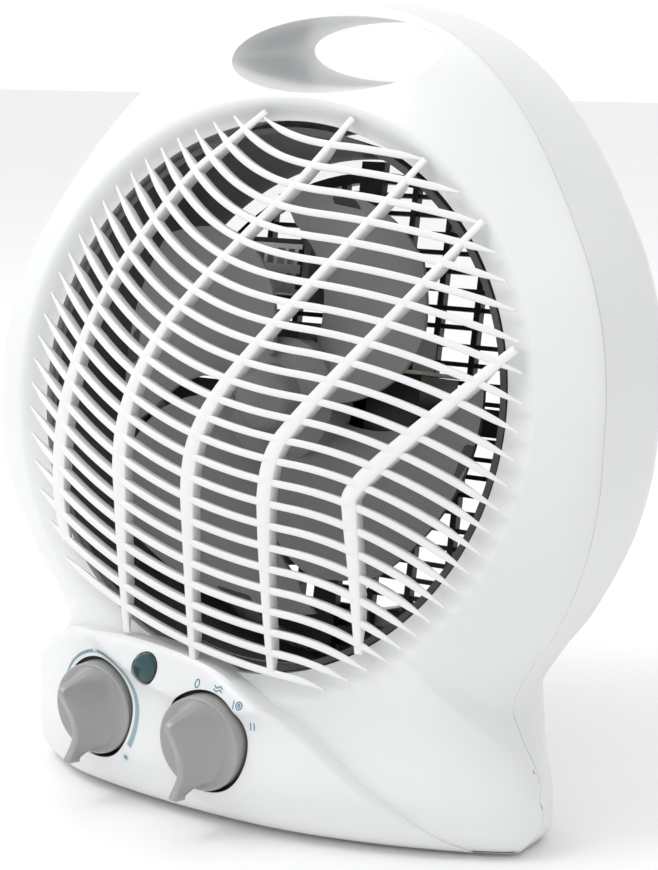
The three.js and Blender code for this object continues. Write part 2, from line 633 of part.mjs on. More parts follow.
function addElements() {
  const [x, y, w] = BANK_AT;
  [['upper', w], ['lower', -w]].forEach(([side, height]) => {
    add(disc, `heating_bank_${side}`, makeBank(), aluminium(), [x, y, height]);
    add(disc, `bank_holder_${side}`, makeBankHolder(), ceramic(), [x, y, height]);
  });
  const cutout = joined([rod(7.5, 48.8, 52.8, 0, 0, 20), block(26, 0.8, 6, [0, 49.2, 0])]);
  add(disc, 'thermal_cutout', cutout, blackPlastic(), [x, 0, w]);
  const fuse = rod(2, -8, 8, 0, 0, 16).rotateZ(Math.PI / 2);
  add(disc, 'thermal_fuse', fuse, creamPlastic(), [x, 51, -w]);
}

function addControls() {
  Object.entries(KNOBS).forEach(([name, { x, z, faceY, shaftBack }]) => {
    const front = shaftBack - 7;
    add(heater, `${name}_knob`, knobGeometry(), greyPlastic(), [x, faceY, z], KNOB_TURN);
    add(heater, `${name}_shaft`, rod(3, faceY + 2.9, front + 8, x, z, 20), steel());
    add(heater, `${name}_body`, makeSwitchBody(x, z, front), blackPlastic());
  });
  const lensPlace = [LENS_AT[0], 0, LENS_AT[1]];
  add(heater, 'indicator_lens', rod(LENS_RADIUS, -24.8, -9, 0, 0, 24), tealLens(), lensPlace);
  add(heater, 'indicator_lamp', rod(2.6, -8, 2, 0, 0, 16), glass(), lensPlace);
}

function addFoot() {
  add(heater, 'base_plate', makeBasePlate(), blackPlastic());
  FEET.forEach(([x, y], i) => add(heater, `rubber_foot_${i + 1}`, rubberFoot(), rubber(), [x, y, 0]));
  add(heater, 'rating_plate', block(56, 26, 0.5), aluminium(), [0, 24, 1.6]);
  add(heater, 'cable_gland', makeGland(), blackPlastic());
  add(heater, 'cord_clamp', makeClamp(), creamPlastic());
  add(heater, 'terminal_block', makeTerminalBlock(), creamPlastic());
}

addShells();
addDrive();
addElements();
addControls();
addFoot();

export default heater;
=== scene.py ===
"""Looks for the upright round fan heater: fine surfaces, materials, studio and camera.

The surfaces come from the CAD part's own formulas, except that the slot's front edge is
a little further right and narrower.
"""

import math

import bpy
import numpy as np
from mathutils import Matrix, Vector


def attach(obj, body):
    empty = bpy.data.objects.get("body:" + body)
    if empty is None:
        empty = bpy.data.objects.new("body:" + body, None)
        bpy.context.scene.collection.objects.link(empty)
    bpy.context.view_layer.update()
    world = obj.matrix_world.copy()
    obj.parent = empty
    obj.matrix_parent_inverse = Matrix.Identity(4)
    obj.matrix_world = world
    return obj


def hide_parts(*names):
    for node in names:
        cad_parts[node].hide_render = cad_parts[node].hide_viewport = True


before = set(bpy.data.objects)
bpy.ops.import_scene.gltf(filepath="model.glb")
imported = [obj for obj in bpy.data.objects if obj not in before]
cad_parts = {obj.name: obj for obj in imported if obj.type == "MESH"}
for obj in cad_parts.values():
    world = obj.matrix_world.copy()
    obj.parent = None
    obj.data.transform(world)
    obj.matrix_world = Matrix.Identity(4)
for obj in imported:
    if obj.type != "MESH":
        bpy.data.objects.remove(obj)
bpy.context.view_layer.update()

# ---- driving dimensions, in millimetres, in the frame whose front face is -Y ----
LEAN = math.radians(12)
COS, SIN, TAN = math.cos(LEAN), math.sin(LEAN), math.tan(LEAN)
DISC_HEIGHT = 134.0
CENTRE_Y = 19.1
ARCH_HEIGHT = 132.0
ARCH_HALF = (113.5, 110.5)
HANDLE_RISE = 12.0
OUTLET_RADIUS = 86.25
INLET_RADIUS = 80.0
DISH_RADIUS = 95.5
CREST_DROP = 1.6
SHELL_BOTTOM = 0.8
SEAM_FRONT = 8.6
SEAM_FOOT_SHIFT = 4.9
FRONT_BULGE = 0.25
SIDE_DEPTH = 46.0
BACK_DEPTH = 63.0
FOOT_MID_Y = 12.5
FOOT_FRONT = 28.0
FOOT_REAR = 50.0
SLOT_HEIGHT = 238.7
SLOT_FRONT = (8.5, 37.2, 11.7)
SLOT_REAR = (0.0, 34.1, 9.8)
FAN_RADIUS = 68.0
DUCT_RADIUS = 83.0
KNOB_RADIUS = 15.0
KNOB_TURN = math.radians(9)
KNOB_DEPTH = 7.0
THERMOSTAT = (-48.3, -24.6, 30.7)
SELECTOR = (-2.0, -30.0, 29.2)
LENS = (-27.0, 47.8)
LENS_RADIUS = 4.9
RECESS_GAP = 1.35
SEAM_GAP = 0.5


# ---- maths helpers ----
def smooth(low, high, value):
    t = np.clip((value - low) / (high - low), 0, 1)
    return t * t * (3 - 2 * t)


def mix(a, b, t):
    return a + (b - a) * t


def in_disc(x, v, w):
    """Points in the leaning disc's frame (across, back, up the face) to the body's frame."""
    x, v, w = np.broadcast_arrays(np.asarray(x, float), v, w)
    return np.stack([x, v * COS + w * SIN, DISC_HEIGHT - v * SIN + w * COS], -1)


def catmull(points, count):
    """A uniform Catmull-Rom curve through points, sampled at count + 1 places."""
    p = np.asarray(points, float)
    out = []
    for t in np.linspace(0, len(p) - 1, count + 1):
        i = min(int(t), len(p) - 2)
        f = t - i
        p0, p1, p2, p3 = p[max(i - 1, 0)], p[i], p[i + 1], p[min(i + 2, len(p) - 1)]
        m1, m2 = (p2 - p0) / 2, (p3 - p1) / 2
        out.append((2 * p1 - 2 * p2 + m1 + m2) * f**3 + (-3 * p1 + 3 * p2 - 2 * m1 - m2) * f**2 + m1 * f + p1)
    return np.array(out)


def ellipse_hits(phi, centre, a, b):
    """Near and far distances at which a ray from the arch's centre meets an ellipse; nan where it misses."""
    c, s, across, up = np.cos(phi), np.sin(phi), centre[0], centre[1] - ARCH_HEIGHT
    qa = (c / a) ** 2 + (s / b) ** 2
    qb = -2 * (c * across / a**2 + s * up / b**2)
    qc = (across / a) ** 2 + (up / b) ** 2 - 1
    inside = qb**2 - 4 * qa * qc
    root = np.sqrt(np.where(inside < 0, np.nan, inside))
    return (-qb - root) / (2 * qa), (-qb + root) / (2 * qa)


# ---- mesh helpers ----
class Skin:
    """Collects grids of points into one mesh."""

    def __init__(self):
        self.points, self.faces, self.count = [], [], 0

    def grid(self, grid, wrap=False, flip=False, keep=None):
        rows, cols = grid.shape[:2]
        self.points.append(np.asarray(grid, float).reshape(-1, 3))
        for r in range(rows - 1):
            for c in range(cols if wrap else cols - 1):
                if keep is not None and not keep(r, c):
                    continue
                d = (c + 1) % cols
                quad = [r * cols + c, r * cols + d, (r + 1) * cols + d, (r + 1) * cols + c]
                self.faces.append([q + self.count for q in (quad[::-1] if flip else quad)])
        self.count += rows * cols
        return self

    def cap(self, ring, flip=False):
        self.points.append(np.asarray(ring, float))
        face = list(range(self.count, self.count + len(ring)))
        self.faces.append(face[::-1] if flip else face)
        self.count += len(ring)
        return self

    def solid(self, rings, wrap=True):
        """A closed skin through rings of points, capped at both ends."""
        rings = np.asarray(rings, float)
        self.grid(rings, wrap=wrap)
        self.cap(rings[0], flip=True)
        return self.cap(rings[-1])


def to_object(name, skin, material, body="housing", replaces=(), sharp=32, weld=2e-6):
    points = np.concatenate(skin.points)
    points[:, 1] -= CENTRE_Y
    mesh = bpy.data.meshes.new(name)
    mesh.from_pydata((points / 1000).tolist(), [], skin.faces)
    mesh.update()
    obj = bpy.data.objects.new(name, mesh)
    bpy.context.scene.collection.objects.link(obj)
    tidy_mesh(mesh, weld, sharp)
    mesh.materials.append(material)
    if body:
        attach(obj, body)
    if replaces:
        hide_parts(*replaces)
    return obj


def tidy_mesh(mesh, weld, sharp):
    import bmesh

    work = bmesh.new()
    work.from_mesh(mesh)
    bmesh.ops.remove_doubles(work, verts=work.verts, dist=weld)
    bmesh.ops.dissolve_degenerate(work, edges=work.edges, dist=1e-7)
    bmesh.ops.recalc_face_normals(work, faces=work.faces)
    work.to_mesh(mesh)
    work.free()
    mesh.shade_smooth()
    mesh.set_sharp_from_angle(angle=math.radians(sharp))


def box_rings(size, centre):
    sx, sy, sz = (s / 2 for s in size)
    cx, cy, cz = centre
    corners = [(cx - sx, cz - sz), (cx + sx, cz - sz), (cx + sx, cz + sz), (cx - sx, cz + sz)]
    return np.array([[(x, y, z) for x, z in corners] for y in (cy - sy, cy + sy)], float)


# ---- materials: every colour varies a little, and every surface has some grain ----
def surface(name, colour, rough, metal=0.0, vary=0.03, grain=0.15, grain_size=900.0, extra=None):
    material = bpy.data.materials.new(name)
    material.use_nodes = True
    nodes, links = material.node_tree.nodes, material.node_tree.links
    shader = nodes["Principled BSDF"]
    place = nodes.new("ShaderNodeTexCoord")
    cloud = nodes.new("ShaderNodeTexNoise")
    cloud.inputs["Scale"].default_value = 14.0
    cloud.inputs["Detail"].default_value = 5.0
    links.new(place.outputs["Object"], cloud.inputs["Vector"])
    ramp = nodes.new("ShaderNodeValToRGB")
    ramp.color_ramp.elements[0].position = 0.3
    ramp.color_ramp.elements[1].position = 0.7
    ramp.color_ramp.elements[0].color = (*[c * (1 - vary) for c in colour], 1)
    ramp.color_ramp.elements[1].color = (*[min(c * (1 + vary), 1) for c in colour], 1)
    links.new(cloud.outputs["Fac"], ramp.inputs["Fac"])
    links.new(ramp.outputs["Color"], shader.inputs["Base Color"])
    speck = nodes.new("ShaderNodeTexNoise")
    speck.inputs["Scale"].default_value = grain_size
    speck.inputs["Detail"].default_value = 3.0
    links.new(place.outputs["Object"], speck.inputs["Vector"])
    spread = nodes.new("ShaderNodeMapRange")
    spread.inputs["To Min"].default_value = max(rough - 0.06, 0.02)
    spread.inputs["To Max"].default_value = min(rough + 0.06, 1.0)
    links.new(speck.outputs["Fac"], spread.inputs["Value"])
    links.new(spread.outputs["Result"], shader.inputs["Roughness"])
    bump = nodes.new("ShaderNodeBump")
    bump.inputs["Strength"].default_value = grain
    bump.inputs["Distance"].default_value = 0.00004
    links.new(speck.outputs["Fac"], bump.inputs["Height"])
    links.new(bump.outputs["Normal"], shader.inputs["Normal"])
    shader.inputs["Metallic"].default_value = metal
    for socket, value in (extra or {}).items():
        shader.inputs[socket].default_value = value
    return material


SATIN_COAT = {"Coat Weight": 0.12, "Coat Roughness": 0.3}
WHITE = surface("white_plastic", (0.765, 0.773, 0.778), 0.36, extra=SATIN_COAT)
GRILLE_WHITE = surface("grille_plastic", (0.80, 0.806, 0.81), 0.32)
KNOB = surface("knob_plastic", (0.33, 0.33, 0.328), 0.34, extra={"Coat Weight": 0.2, "Coat Roughness": 0.2})
FAN = surface("fan_plastic", (0.26, 0.262, 0.262), 0.42)
# Black plastic for the inner parts; on the rear grille the same black is painted shade for the shadowed
# inside of the housing.
BLACK_AND_SHADE = surface("black_plastic", (0.018, 0.018, 0.02), 0.45, vary=0.15)
# Near-black painted shade for the shadowed inside of the air duct.
DUCT = surface("duct_painted_shade", (0.075, 0.076, 0.078), 0.5, vary=0.1)
# Painted shade: a near-black used in the knob wells and in the shell joint, where there is only shadow.
SHADE_DARK = surface("recess_shadow", (0.03, 0.03, 0.031), 0.6, vary=0.1)
MARK = surface("print_teal", (0.022, 0.25, 0.30), 0.5, vary=0.08)
LENS_COAT = {"Coat Weight": 0.35, "Coat Roughness": 0.1}
LENS_TEAL = surface("lens_teal", (0.003, 0.05, 0.055), 0.14, vary=0.12, extra=LENS_COAT)
STEEL = surface("zinc_steel", (0.55, 0.56, 0.57), 0.32, metal=1.0, vary=0.08, grain=0.3, grain_size=400)
LAMINATION = surface("laminations", (0.2, 0.205, 0.21), 0.45, metal=1.0, vary=0.1, grain=0.4, grain_size=500)
TAPE = surface("coil_tape", (0.02, 0.017, 0.014), 0.4, vary=0.2)
BRONZE = surface("sintered_bronze", (0.5, 0.34, 0.14), 0.45, metal=1.0, vary=0.08, grain=0.5)
CREAM = surface("cream_plastic", (0.68, 0.62, 0.48), 0.5, vary=0.05)
FINS = surface("fin_aluminium", (0.7, 0.71, 0.72), 0.38, metal=1.0, vary=0.06, grain=0.3)
FRAME_GREY = surface("ceramic_frame", (0.12, 0.115, 0.11), 0.65, vary=0.1, grain=0.5)
RUBBER = surface("rubber", (0.02, 0.02, 0.021), 0.8, vary=0.15, grain=0.6)
LAMP = surface("lamp_glass", (0.9, 0.7, 0.5), 0.08, extra={"Transmission Weight": 0.9, "IOR": 1.5})


# ---- body form: the same outline and depth formulas as the part ----
SIDE_POINTS = [
    (90, SHELL_BOTTOM), (95.5, 8), (96, 15), (93.5, 26), (88, 36), (85, 46), (91, 58.6), (99.5, 71),
    (109, 92), (113.3, 112), (ARCH_HALF[0], ARCH_HEIGHT),
]


def arch_points(angle):
    rise = HANDLE_RISE * smooth(30, 80, np.degrees(angle))
    across = (ARCH_HALF[0] + rise) * np.cos(angle)
    return np.stack([across, ARCH_HEIGHT + (ARCH_HALF[1] + rise) * np.sin(angle)], -1)


def half_outline():
    floor = np.stack([np.linspace(0, SIDE_POINTS[0][0], 60), np.full(60, SHELL_BOTTOM)], -1)
    arch = arch_points(np.linspace(0, math.pi / 2, 300))
    return np.concatenate([floor[:-1], catmull(SIDE_POINTS, 400)[:-1], arch])


OUTLINE = half_outline()
OUTLINE_ANGLE = np.arctan2(OUTLINE[:, 1] - ARCH_HEIGHT, OUTLINE[:, 0])
OUTLINE_REACH = np.hypot(OUTLINE[:, 0], OUTLINE[:, 1] - ARCH_HEIGHT)


def outline_reach(phi):
    """Distance from the arch's centre to the outline at angle phi, either side."""
    right = np.arcsin(np.sin(phi))
    return np.interp(right, OUTLINE_ANGLE, OUTLINE_REACH)


def foot_half_width(z):
    return mix(96.0, 85.0, smooth(15, 46, z))


def lean_y(z):
    return (z - DISC_HEIGHT) * TAN


def foot_share(z):
    return 1 - smooth(16, 56, z)


def seam_y(z):
    """The parting line: it sweeps back towards the handle and stands upright in the foot."""
    sweep = 0.0144 * np.maximum(z - 105, 0) ** 1.57
    return SEAM_FRONT + sweep + SEAM_FOOT_SHIFT * (1 - smooth(38, 105, z))


def bottom_round(z):
    """How far the front and back faces curve in at their lower edge."""
    u = np.clip((8.5 - z) / 7.0, 0, 1)
    return 7.0 * (1 - np.sqrt(1 - u * u * 0.98))


def disc_front_depth(x, z, inset):
    radius = np.hypot(x, (z - DISC_HEIGHT) / COS)
    angle = np.arctan2(z - DISC_HEIGHT, x)
    ridge = smooth(-0.25, 0.75, np.cos(angle - 2.1))
    crest_radius = crest_reach(angle)
    crest_depth = mix(2.0, -1.5, ridge)
    dish = mix(2.5, crest_depth, smooth(OUTLET_RADIUS, crest_radius, radius))
    u = np.clip((radius - crest_radius) / np.maximum(radius + inset - crest_radius, 1e-6), 0, 1)
    fall = mix(u, 1 - np.sqrt(1 - u * u), FRONT_BULGE)
    outside = crest_depth + ((seam_y(z) - lean_y(z)) * COS - crest_depth) * fall
    return np.where(radius < crest_radius, dish, outside)


def crest_reach(angle):
    """The dish's crest dips a little at the top, to clear the slot."""
    return DISH_RADIUS - CREST_DROP * np.clip(np.sin(angle), 0, 1) ** 8


def foot_y(x, z, reach):
    across = np.minimum(np.abs(x) / foot_half_width(z), 1)
    return reach * np.sqrt(1 - across * across)


def front_y(x, z, inset):
    chin = 4.5 * np.sin(math.pi * np.clip(z / 60, 0, 1))
    across = np.minimum(np.abs(x) / foot_half_width(z), 1)
    foot = FOOT_MID_Y - (FOOT_FRONT + chin) * np.sqrt(1 - across * across) + bottom_round(z)
    return mix(lean_y(z) + disc_front_depth(x, z, inset) / COS, foot, foot_share(z))


def rear_y(x, z, inset):
    across = np.minimum(np.abs(x) / foot_half_width(z), 1)
    foot = FOOT_MID_Y + FOOT_REAR * np.sqrt(1 - across * across) - bottom_round(z)
    u = np.clip(1 - inset / 16, 0, 1)
    depth = BACK_DEPTH - (BACK_DEPTH - SIDE_DEPTH) * (1 - np.sqrt(1 - u * u))
    return mix(lean_y(z) + depth / COS, foot, foot_share(z))


def rays(slot):
    """Ray angles from the arch's centre, anticlockwise from straight down, crowded at the slot's ends."""
    t = np.linspace(0, 2 * math.pi, 20001)
    rise = SLOT_HEIGHT - ARCH_HEIGHT + slot[2] * np.sin(t)
    edge = np.arctan2(rise, slot[0] + slot[1] * np.cos(t))
    low, high = edge.min() + 1e-6, edge.max() - 1e-6
    length = np.concatenate([[0], np.cumsum(np.hypot(*np.diff(OUTLINE, axis=0).T))])

    def side(stop):
        steps = np.linspace(0, np.interp(stop, OUTLINE_ANGLE, length), 190)
        return np.interp(steps, length, OUTLINE_ANGLE)

    right, left = side(low), math.pi - side(math.pi - high)[::-1]
    top = mix(low, high, (1 - np.cos(np.linspace(0, math.pi, 110))) / 2)
    return np.concatenate([right, top[1:-1], left]), len(right) - 1, len(right) + len(top) - 2


def body_face(slot, inner_radius, crest, depth_at):
    """One face of the body: rows along rays from the round opening to the outline, less the slot."""
    phi, first, last = rays(slot)
    start = ellipse_hits(phi, (0, DISC_HEIGHT), inner_radius, inner_radius * COS)[1]
    end = outline_reach(phi)
    near, far = ellipse_hits(phi, (slot[0], SLOT_HEIGHT), *slot[1:])
    share = (near - start) / (end - start)
    index = np.arange(len(phi))
    inside = (index > first) & (index < last)
    outer_share = np.where(index <= first, share[first + 1], share[last - 1])
    middle = start + (end - start) * outer_share
    near = np.where(inside, near, middle)
    far = np.where(inside, far, middle)
    if crest:
        ridge_at = ellipse_hits(phi, (0, DISC_HEIGHT), crest, crest * COS)[1]
        ridge_at = np.minimum(ridge_at - CREST_DROP * np.clip(np.sin(phi), 0, 1) ** 8, near - 0.4)
        first_part = [mix(start, ridge_at, t) for t in np.linspace(0, 1, 9)]
        second_part = [mix(ridge_at, near, math.sin(t * math.pi / 2)) for t in np.linspace(0, 1, 34)][1:]
    else:
        first_part = [start]
        second_part = [mix(start, near, math.sin(t * math.pi / 2)) for t in np.linspace(0, 1, 26)][1:]
    outer_part = [mix(far, end, (1 - math.cos(t * math.pi)) / 2) for t in np.linspace(0, 1, 38)]
    reaches = np.array(first_part + second_part + outer_part)
    split = len(first_part) + len(second_part) - 1
    x = reaches * np.cos(phi)
    z = ARCH_HEIGHT + reaches * np.sin(phi)
    return np.stack([x, depth_at(x, z, end - reaches), z], -1), (split, first, last)


def slot_ring(grid, where):
    """The slot's edge as a closed ring of points: along the lower edge, and back along the upper one."""
    split, first, last = where
    lower = grid[split, first : last + 1]
    upper = grid[split + 1, first : last + 1][::-1]
    return np.concatenate([lower, upper[1:-1]])


def make_front_shell():
    grid, where = body_face(SLOT_FRONT, OUTLET_RADIUS, DISH_RADIUS, front_y)
    skin = Skin().grid(grid, wrap=True, keep=lambda row, col: row != where[0])
    skin.grid(np.array([grid[0] + [0, dy, 0] for dy in (0, 3, 14)]), wrap=True)
    skin.grid(edge_return(grid[-1], 0.12), wrap=True)
    return skin, slot_ring(grid, where)


def edge_return(edge, back):
    """A lip that turns in from an edge of the outline."""
    centre = np.array([0, 0, ARCH_HEIGHT])
    flat = edge * [1, 0, 1] - centre
    inward = -flat / np.linalg.norm(flat, axis=1, keepdims=True)
    return np.array([edge, edge + inward * 0.25 + [0, back, 0], edge + inward * 3 + [0, back, 0]])


def make_rear_shell():
    grid, where = body_face(SLOT_REAR, INLET_RADIUS, None, rear_y)
    skin = Skin().grid(grid, wrap=True, flip=True, keep=lambda row, col: row != where[0])
    skin.grid(np.array([grid[0], grid[0] - [0, 6, 0]]), wrap=True)
    edge = grid[-1]
    x, z = edge[:, 0], edge[:, 2]
    seam = np.minimum(front_y(x, z, 0) + SEAM_GAP, edge[:, 1])
    rows = [np.stack([x, mix(edge[:, 1], seam, t), z], -1) for t in np.linspace(0, 1, 16)]
    skin.grid(np.array(rows), wrap=True)
    skin.grid(edge_return(rows[-1], -0.1), wrap=True)
    return skin, slot_ring(grid, where), rows[-1]


def make_seam_shade_strip(edge):
    """A near-black strip just inside the joint between the two shells: painted shade, so the seam reads as a
    dark line.
    """
    along = np.roll(edge, -1, 0) - np.roll(edge, 1, 0)
    inward = np.stack([-along[:, 2], 0 * along[:, 0], along[:, 0]], -1)
    inner = edge + inward / np.linalg.norm(inward, axis=1, keepdims=True) * 0.5
    return Skin().grid(np.array([inner - [0, 1.2, 0], inner + [0, 1.2, 0]]), wrap=True)


def make_slot_tube(front_ring, rear_ring):
    """The handle slot's inner wall: it narrows quickly behind the front edge, then gently."""
    start, stop = resample(front_ring, SLOT_FRONT), resample(rear_ring, SLOT_REAR)
    rows = []
    for t in np.linspace(0, 1, 25):
        row = mix(start, stop, t)
        ease = mix(start, stop, 1 - (1 - t) ** 1.5)
        row[:, 0], row[:, 2] = ease[:, 0], ease[:, 2]
        rows.append(row)
    return Skin().grid(np.array(rows), wrap=True)


def resample(ring, slot, count=240):
    """A ring of points respaced evenly round the slot's ellipse."""
    angle = np.arctan2((ring[:, 2] - SLOT_HEIGHT) / slot[2], (ring[:, 0] - slot[0]) / slot[1])
    order = np.argsort(angle)
    span = np.linspace(-math.pi, math.pi, count + 1)[:-1]
    return np.stack([np.interp(span, angle[order], ring[order, i], period=2 * math.pi) for i in range(3)], -1)


# ---- control panel ----
PANEL_PROUD = 9.5
PANEL_BOTTOM = SHELL_BOTTOM + 0.2
PANEL_TOP = [
    (-90, 37.5), (-79, 46), (-64, 53.2), (-45, 55.8), (-23, 54.8), (-9, 53), (2, 50),
    (19, 42.3), (33, 33.6), (52, 19.3), (68, 8.4), (78, 3),
]


def panel_y(x, z):
    fade = 1 - smooth(10, 86, x) * 0.88
    left = smooth(-92, -60, x)
    swell = np.sqrt(np.sin(math.pi * np.clip(0.12 + z / 78, 0.001, 0.999)))
    bulge = PANEL_PROUD * fade * mix(0.45, 1, left) * swell
    across = np.minimum(np.abs(x) / 96, 1)
    base = FOOT_MID_Y - FOOT_FRONT * np.sqrt(1 - across * across) + bottom_round(z)
    return np.minimum(front_y(x, z, 20.0), base) - bulge


def make_panel():
    top = catmull(PANEL_TOP, 150)
    rows = 46
    rings = []
    for x, high in top:
        s = np.linspace(0, 1, rows)
        z = mix(PANEL_BOTTOM, high, s)
        y = panel_y(x, z)
        round_over = 1.6 * (1 - np.sqrt(1 - np.clip((s - 0.93) / 0.07, 0, 1) ** 2))
        front = np.stack([np.full(rows, x), y + round_over, z], -1)
        back_z = z[::-1][::9]
        back = np.stack([np.full(len(back_z), x), front_y(x, back_z, 20.0) + 4.5, back_z], -1)
        rings.append(np.concatenate([front, back]))
    return Skin().solid(rings)


def boolean_cut(obj, cutters):
    for i, cutter in enumerate(cutters):
        modifier = obj.modifiers.new(f"cut{i}", "BOOLEAN")
        modifier.operation = "DIFFERENCE"
        modifier.solver = "EXACT"
        modifier.object = cutter
    bpy.context.view_layer.update()
    graph = bpy.context.evaluated_depsgraph_get()
    mesh = bpy.data.meshes.new_from_object(obj.evaluated_get(graph))
    obj.modifiers.clear()
    obj.data = mesh
    mesh.shade_smooth()
    mesh.set_sharp_from_angle(angle=math.radians(32))
    for cutter in cutters:
        bpy.data.objects.remove(cutter)


def lathe(profile, x=0.0, z=0.0, sides=96):
    """Rings about the Y axis through (x, z), from a list of (radius, y)."""
    a = np.linspace(0, 2 * math.pi, sides, endpoint=False)
    ring = lambda r, y: np.stack([x + r * np.cos(a), np.full(sides, y), z + r * np.sin(a)], -1)
    return np.array([ring(r, y) for r, y in profile])


def cutter(radius, y0, y1, x, z):
    """A plain cylinder that is cut away from the panel."""
    rings = lathe([(radius, y0), (radius, y1)], x, z, sides=72)
    return to_object("cutter", Skin().solid(rings), SHADE_DARK, body=None)


def turned(points, angle, x, z):
    """Points turned about the Y axis through (x, z): positive is clockwise seen from the front."""
    p = np.array(points, float)
    dx, dz = p[..., 0] - x, p[..., 2] - z
    p[..., 0] = x + dx * math.cos(angle) + dz * math.sin(angle)
    p[..., 2] = z + dz * math.cos(angle) - dx * math.sin(angle)
    return p


# ---- knobs ----
RIDGE = [
    (14.2, 2.0), (12.8, 14.0), (11.8, 16.8), (9.8, 17.3), (5, 14.0), (0, 10.6), (-4.5, 8.4), (-8.3, 7.6),
    (-11, 8.3), (-13.2, 9.7), (-14.9, 10.7), (-15.6, 10.4),
]


def knob_grip(x0, y0, z0):
    line = catmull(RIDGE, 70)
    rings = []
    for dz, proud in line:
        inside = max(KNOB_RADIUS**2 - dz * dz, 0) ** 0.5
        tail = 1 - float(smooth(-13.6, -9.8, dz))
        wide = mix(max(inside * 0.97, 2.4), 2.3, tail)
        back = mix(-0.6, proud - 3.2, 1 - float(smooth(-14.4, -12.0, dz)))
        s = np.linspace(-1, 1, 41)
        across = np.sign(s) * (np.abs(s) ** 1.35) * wide
        fall = np.clip((np.abs(across) - 1.35) / max(wide - 1.35, 1e-3), 0, 1)
        height = mix(back, proud, (1 - fall) ** mix(2.6, 1.0, tail))
        height = height - 0.35 * np.clip(np.abs(across) / 1.35, 0, 1) ** 4 * (1 - fall)
        front = np.stack([x0 + across, y0 - height, np.full(41, z0 + dz)], -1)
        rear = front[::-1][::8].copy()
        rear[:, 1] = y0 - back + 0.8
        rings.append(np.concatenate([front, rear]))
    return np.array(rings)


def make_knob(centre, name, body):
    x, y, z = centre
    rim = [(13.6, y), (14.1, y - 0.12), (14.55, y - 0.05), (14.9, y + 0.25), (15.0, y + 0.8)]
    profile = [(0.05, y), *rim, (15.0, y + KNOB_DEPTH), (3.4, y + KNOB_DEPTH)]
    skin = Skin().grid(lathe(profile, x, z), wrap=True)
    skin.solid(turned(knob_grip(x, y, z), KNOB_TURN, x, z))
    swaps = (f"{name}_knob",)
    return to_object(f"{name}_knob_fine", skin, KNOB, body=body, replaces=swaps, sharp=28)


# ---- front grille ----
DOME_TOP = -15.8
DOME_SAG = 13.5
CROSS_BARS = 25
UNIT = 1.15
UPRIGHTS = [
    [
        (-57.4, -46.6), (-61, -34), (-61.4, -15), (-59, 0), (-54.4, 15),
        (-47, 30), (-36, 46), (-26, 59), (-16, 68), (-6, 77),
    ],
    [
        (-33, -69), (-35, -35), (-36.4, -21), (-35.6, -9), (-32, 3),
        (-25, 16), (-14, 30), (-2, 44), (10, 58), (21.6, 76),
    ],
    [(-9, -73), (-10, -41), (-11, -25), (-9.6, -13), (-4, -1), (6, 13), (20, 31), (32, 47), (44.8, 66)],
    [(16.6, -73), (14.4, -35), (14, -23), (16, -13), (22, -4), (40, 19), (52, 35), (63.4, 51)],
    [(42.4, -63), (41, -43), (39, -27), (38.6, -23), (40.5, -19.5), (45, -14.2), (60, 1.5), (77, 19.4)],
]


def dome(x, w):
    return DOME_TOP + DOME_SAG * (x * x + w * w) / 8100.0


def cross_height(k, x):
    """Height of cross bar k at x, in millimetres, in the disc's frame."""
    base = 68.2 - 6.27 * k + 0.017 * k * k
    u = x / UNIT
    left = np.maximum(22 - u, 0)
    right = np.maximum(u - 22, 0)
    rise = 0.05 * left + 0.0025 * left**2 + 2.2e-5 * math.exp(base / 33) * left**3
    fall = 0.07 * right + max(0.0015, 0.0038 - 0.00006 * base) * right**2
    return UNIT * (base + rise - fall)


def bar(path, half_width, depth, back_share=0.75, radius=0.45):
    """A bar swept over the dome, with its front edges rounded."""
    path = np.asarray(path, float)
    ahead = np.gradient(path, axis=0)
    ahead /= np.linalg.norm(ahead, axis=1, keepdims=True)
    side = np.stack([-ahead[:, 1], ahead[:, 0]], -1)
    front = dome(path[:, 0], path[:, 1])
    rings = []
    for i, (x, w) in enumerate(path):
        h, d = half_width[i], depth[i]
        r = min(radius, h * 0.6)
        left = [(-h * back_share, d), (-h, r), (-h + r * 0.35, r * 0.35), (-h + r, 0)]
        section = left + [(-s, v) for s, v in left[::-1]]
        rings.append([(x + side[i, 0] * s, front[i] + v, w + side[i, 1] * s) for s, v in section])
    p = np.array(rings)
    return in_disc(p[..., 0], p[..., 1], p[..., 2])


def cross_span(k):
    x = np.linspace(-95, 95, 761)
    w = cross_height(k, x)
    radius = mix(89.0, 93.0, smooth(-20, 60, x - 0.3 * w))
    inside = np.hypot(x, w) < radius
    if k == 0:
        inside &= (x > -7) & (x < 53)
    run = x[inside]
    return run[0], run[-1]


def make_front_grille():
    skin = Skin()
    for k in range(CROSS_BARS):
        low, high = cross_span(k)
        x = np.linspace(low, high, 90)
        w = cross_height(k, x)
        reach = np.minimum(x - low, high - x)
        tip = smooth(-1.5, 9, reach)
        radial = np.hypot(x, w)
        depth = mix(4.2, 1.2, smooth(76, 88, radial))
        skin.solid(bar(np.stack([x, w], -1), mix(0.25, 1.12, tip), depth))
    for points in UPRIGHTS:
        path = catmull(np.array(points) * UNIT, 90)
        w = path[:, 1]
        width = 1.15 + 1.5 * np.exp(-(((w + 22) / 36) ** 2))
        radial = np.hypot(path[:, 0], path[:, 1])
        depth = mix(5.0, 1.2, smooth(76, 88, radial))
        skin.solid(bar(path, width, depth))
    swaps = ("front_grille",)
    return to_object("front_grille_fine", skin, GRILLE_WHITE, replaces=swaps, sharp=40)


